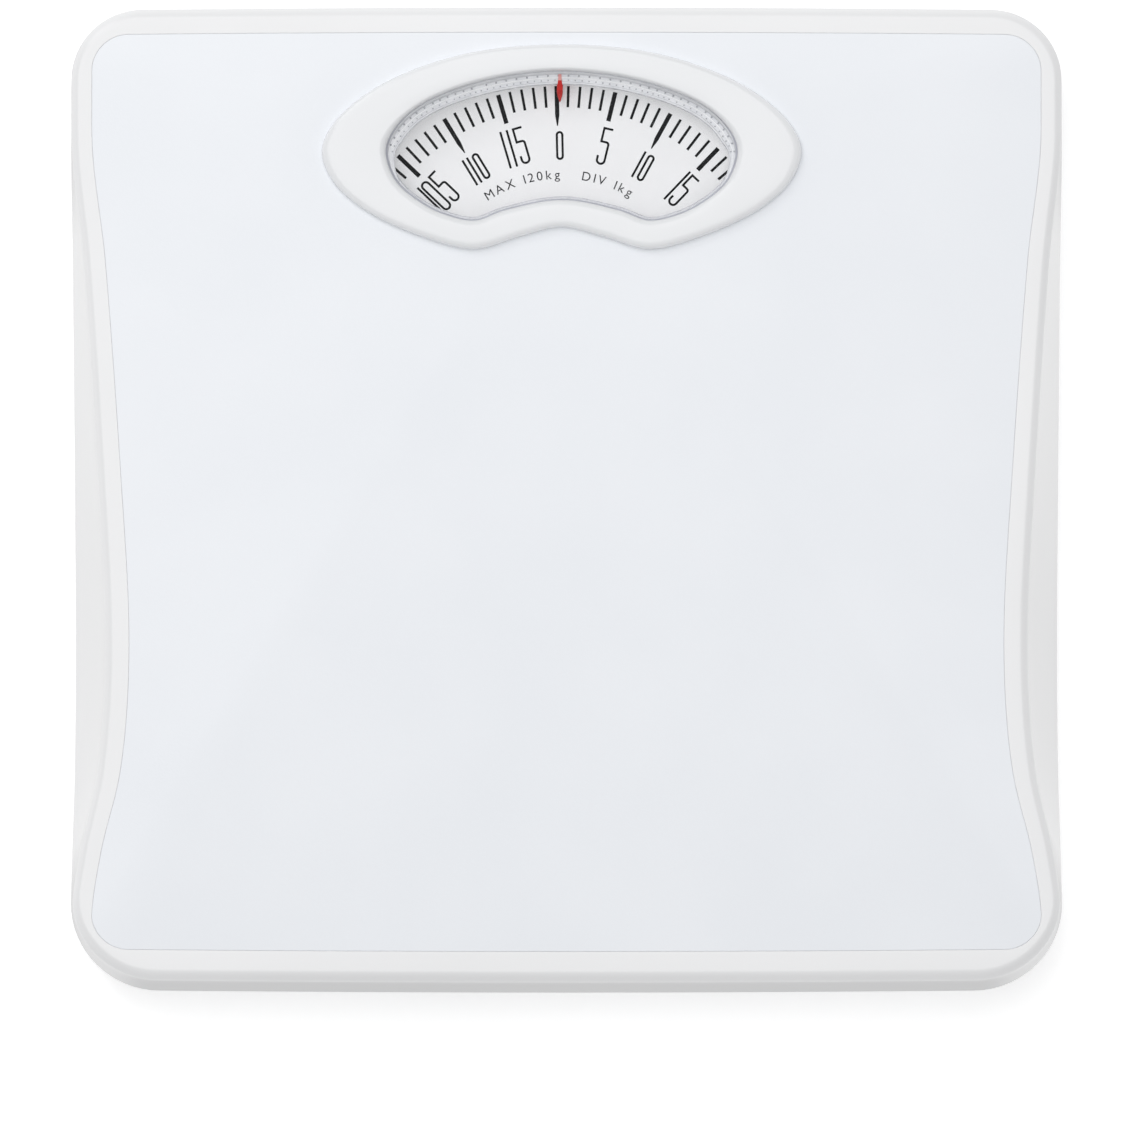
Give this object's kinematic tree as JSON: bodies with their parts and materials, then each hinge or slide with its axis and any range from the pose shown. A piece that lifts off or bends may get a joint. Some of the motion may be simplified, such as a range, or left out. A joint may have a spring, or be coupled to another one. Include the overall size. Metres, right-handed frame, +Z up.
{
  "type": "mechanical dial platform scale",
  "caption": "Square low weighing platform on levers, springs and a bell crank that turn a round dial read through a window near its rear edge.",
  "frame": {"origin": "on the floor, under the middle of the scale's outer skirt", "axes": "+X to the right of a person standing on the scale facing the dial, +Y towards the dial, +Z up"},
  "size_m": [0.27, 0.266, 0.053],
  "materials": {
    "white_enamel": "satin white enamel on pressed steel",
    "vinyl_mat": "fine-grained bluish white vinyl",
    "white_plastic": "glossy white moulding",
    "clear_plastic": "clear moulded acrylic",
    "red_plastic": "red",
    "foot_rubber": "grey rubber",
    "dial_face": "matt white printed dial",
    "grey_plastic": "grey moulding",
    "spring_steel": "bright drawn wire",
    "brass": "turned",
    "zinc_steel": "zinc-plated sheet steel"
  },
  "bodies": {
    "base": {"base_tray": "white_enamel", "foot_front_left": "foot_rubber", "foot_front_right": "foot_rubber", "foot_rear_left": "foot_rubber", "foot_rear_right": "foot_rubber", "fulcrum_post_front_left": "zinc_steel", "fulcrum_post_front_right": "zinc_steel", "fulcrum_post_rear_left": "zinc_steel", "fulcrum_post_rear_right": "zinc_steel", "retainer_anchor_front_left": "zinc_steel", "retainer_anchor_front_right": "zinc_steel", "retainer_anchor_rear_left": "zinc_steel", "retainer_anchor_rear_right": "zinc_steel", "retaining_spring_front_left": "spring_steel", "retaining_spring_front_right": "spring_steel", "retaining_spring_rear_left": "spring_steel", "retaining_spring_rear_right": "spring_steel", "spring_tower": "zinc_steel", "main_spring": "spring_steel", "dial_bridge": "zinc_steel", "bearing_bracket": "zinc_steel", "lower_bearing": "brass", "upper_bearing": "brass", "rack_guide": "zinc_steel", "crank_bracket": "zinc_steel", "crank_pin": "spring_steel", "rack_spring": "spring_steel"},
    "platform": {"platform_cover": "white_enamel", "platform_mat": "vinyl_mat", "platform_stiffener": "zinc_steel", "dial_bezel": "white_plastic", "window_lens": "clear_plastic", "zero_pointer": "red_plastic", "stirrup_front_left": "zinc_steel", "stirrup_front_right": "zinc_steel", "stirrup_rear_left": "zinc_steel", "stirrup_rear_right": "zinc_steel"},
    "long_lever_left": {"long_lever_left": "zinc_steel", "coupling_link_left": "zinc_steel"},
    "long_lever_right": {"long_lever_right": "zinc_steel", "coupling_link_right": "zinc_steel"},
    "short_lever_left": {"short_lever_left": "zinc_steel"},
    "short_lever_right": {"short_lever_right": "zinc_steel"},
    "calibrating_plate": {"calibrating_plate": "zinc_steel", "lower_spring_plug": "zinc_steel"},
    "bell_crank": {"bell_crank": "zinc_steel"},
    "rack": {"rack": "brass"},
    "dial": {"dial_disc": "dial_face", "dial_hub": "brass", "spindle": "spring_steel", "pinion": "brass"},
    "zero_wheel": {"zero_wheel": "grey_plastic"},
    "adjuster_screw": {"adjuster_screw": "brass"}
  },
  "joints": [
    {"name": "dial_spin", "type": "hinge", "parent": "base", "child": "dial", "pos_m": [-0.0013, 0.0505, 0.0402], "axis": [0, 0, 1], "range_deg": [0, 375], "stiffness_Nm_per_rad": 0.016, "springref_deg": -6.88},
    {"name": "platform_press", "type": "slide", "parent": "base", "child": "platform", "axis": [0, 0, -1], "range_m": [0, 0.0005237], "deforming": ["retaining_spring_front_left", "retaining_spring_front_right", "retaining_spring_rear_left", "retaining_spring_rear_right"]},
    {"name": "long_lever_left_tilt", "type": "hinge", "parent": "base", "child": "long_lever_left", "pos_m": [-0.1, -0.102, 0.0125], "axis": [-1, 0, 0], "range_deg": [0, 1.67]},
    {"name": "short_lever_left_tilt", "type": "hinge", "parent": "base", "child": "short_lever_left", "pos_m": [-0.1, 0.102, 0.0125], "axis": [1, 0, 0], "range_deg": [0, 1.67]},
    {"name": "long_lever_right_tilt", "type": "hinge", "parent": "base", "child": "long_lever_right", "pos_m": [0.1, -0.102, 0.0125], "axis": [-1, 0, 0], "range_deg": [0, 1.67]},
    {"name": "short_lever_right_tilt", "type": "hinge", "parent": "base", "child": "short_lever_right", "pos_m": [0.1, 0.102, 0.0125], "axis": [1, 0, 0], "range_deg": [0, 1.67]},
    {"name": "calibrating_plate_drop", "type": "slide", "parent": "base", "child": "calibrating_plate", "axis": [0, 0, -1], "range_m": [0, 0.00625], "deforming": ["main_spring"]},
    {"name": "bell_crank_swing", "type": "hinge", "parent": "base", "child": "bell_crank", "pos_m": [0.0033, 0.09, 0.013], "axis": [-1, 0, 0], "range_deg": [0, 42.13]},
    {"name": "rack_slide", "type": "slide", "parent": "base", "child": "rack", "axis": [0, 1, 0], "range_m": [0, 0.01048], "deforming": ["rack_spring"]},
    {"name": "zero_wheel_spin", "type": "hinge", "parent": "base", "child": "zero_wheel", "pos_m": [0, 0.113, 0.033], "axis": [0, 0, 1], "range_deg": [-360, 360]},
    {"name": "adjuster_screw_lift", "type": "slide", "parent": "base", "child": "adjuster_screw", "axis": [0, 0, -1], "range_m": [-0.001, 0.001]}
  ],
  "couplings": [
    {"joint": "platform_press", "follows": "dial_spin", "m_per_rad": 0.00007998},
    {"joint": "long_lever_left_tilt", "follows": "dial_spin", "ratio": 0.0044433},
    {"joint": "long_lever_right_tilt", "follows": "dial_spin", "ratio": 0.0044433},
    {"joint": "short_lever_left_tilt", "follows": "dial_spin", "ratio": 0.0044433},
    {"joint": "short_lever_right_tilt", "follows": "dial_spin", "ratio": 0.0044433},
    {"joint": "calibrating_plate_drop", "follows": "dial_spin", "m_per_rad": 0.00095518},
    {"joint": "bell_crank_swing", "follows": "dial_spin", "ratio": 0.1123},
    {"joint": "rack_slide", "follows": "dial_spin", "m_per_rad": 0.0016},
    {"joint": "adjuster_screw_lift", "follows": "zero_wheel_spin", "m_per_rad": 0.00015915}
  ]
}
